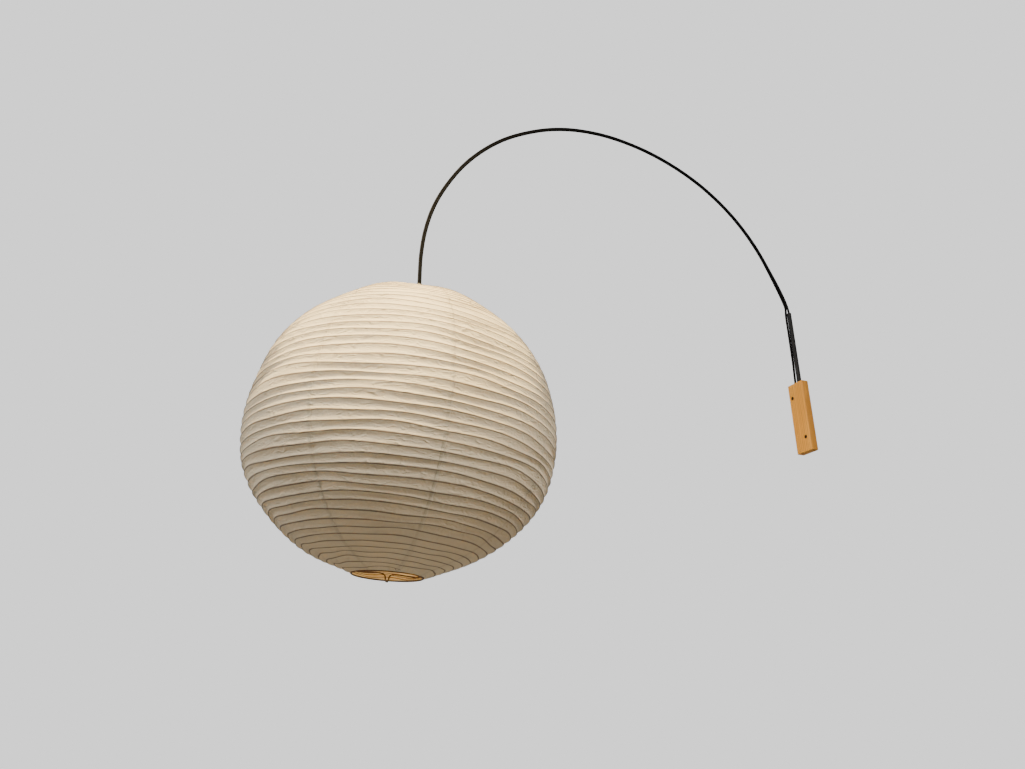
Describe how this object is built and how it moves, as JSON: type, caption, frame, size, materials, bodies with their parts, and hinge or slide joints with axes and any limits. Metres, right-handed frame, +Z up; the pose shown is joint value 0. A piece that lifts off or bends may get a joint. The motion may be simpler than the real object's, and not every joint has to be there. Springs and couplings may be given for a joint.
{
  "type": "paper lantern wall lamp",
  "caption": "Round ribbed paper lantern hung from a long bent black rod with its flex along it, turning in a small wooden wall block.",
  "frame": {"origin": "centre of the wall block's back face, on the wall plane", "axes": "+Y into the wall, out of the block's back face; the arm reaches into the room along -Y; +Z up; +X to the right of a person facing the wall"},
  "size_m": [0.6048, 1.3428, 1.1762],
  "materials": {
    "oak": "oiled honey-coloured softwood, fine straight grain, satin",
    "bronzed_screw": "dark bronzed steel, satin",
    "zinc_screw": "zinc plated, satin",
    "white_plastic": "white moulded plastic, matte",
    "brass": "plain brass, satin",
    "sleeve_steel": "dark grey steel tube, satin",
    "rod": "black glass-fibre rod, satin",
    "flex": "black two-core flex, matte",
    "black_plastic": "black moulded plastic, satin",
    "ceramic": "white steatite, satin",
    "bulb_cap": "pressed aluminium, satin",
    "bulb_plastic": "white moulded plastic, matte",
    "bulb_diffuser": "frosted white plastic, satin",
    "wire": "dark annealed steel wire, satin",
    "rib": "pale split-bamboo rib, matte",
    "paper": "warm white mulberry-fibre paper, translucent, matte"
  },
  "bodies": {
    "wall_bracket": {"wall_block": "oak", "wall_screw_upper": "bronzed_screw", "wall_screw_lower": "bronzed_screw", "cord_clamp": "white_plastic", "clamp_screw": "zinc_screw", "terminal_block": "white_plastic", "terminal_screw_1": "brass", "terminal_screw_2": "brass", "terminal_screw_3": "brass", "terminal_screw_4": "brass", "flex_tail": "flex"},
    "arm": {"arm_sleeve": "sleeve_steel", "arm_rod": "rod", "flex_arm": "flex", "tip_clip": "black_plastic"},
    "flex_knuckle": {"flex_bend": "flex"},
    "drop": {"flex_drop": "flex"},
    "lantern": {"cord_grip": "black_plastic", "lampholder_cap": "black_plastic", "lampholder_shell": "black_plastic", "lampholder_insert": "ceramic", "centre_contact": "brass", "side_contact": "brass", "shade_ring": "black_plastic", "bulb_contact": "bulb_cap", "bulb_insulator": "black_plastic", "bulb_screw_cap": "bulb_cap", "bulb_housing": "bulb_plastic", "bulb_globe": "bulb_diffuser", "spreader_frame": "wire", "rim_ring_top": "wire", "rim_ring_bottom": "wire", "rib_spiral": "rib", "paper_gore_1": "paper", "paper_gore_2": "paper", "paper_gore_3": "paper", "paper_gore_4": "paper", "paper_gore_5": "paper", "paper_gore_6": "paper", "paper_gore_7": "paper", "paper_gore_8": "paper"}
  },
  "joints": [
    {"name": "arm_swivel", "type": "hinge", "parent": "wall_bracket", "child": "arm", "pos_m": [0.007, -0.01, 0.0925], "axis": [0, 0, 1], "range_deg": [-70, 70]},
    {"name": "lantern_swing", "type": "hinge", "parent": "arm", "child": "flex_knuckle", "pos_m": [0.007, -1.023, 0.138], "axis": [1, 0, 0], "range_deg": [-30, 30], "stiffness_Nm_per_rad": 0.5, "springref_deg": -11.05},
    {"name": "lantern_sway", "type": "hinge", "parent": "flex_knuckle", "child": "drop", "pos_m": [0.007, -1.023, 0.138], "axis": [0, 1, 0], "range_deg": [-30, 30], "stiffness_Nm_per_rad": 0.5, "springref_deg": 4.49},
    {"name": "lantern_turn", "type": "hinge", "parent": "drop", "child": "lantern", "pos_m": [0.007, -1.023, 0.138], "axis": [0.0208, 0.0514, 0.9985], "range_deg": [-180, 180]}
  ]
}
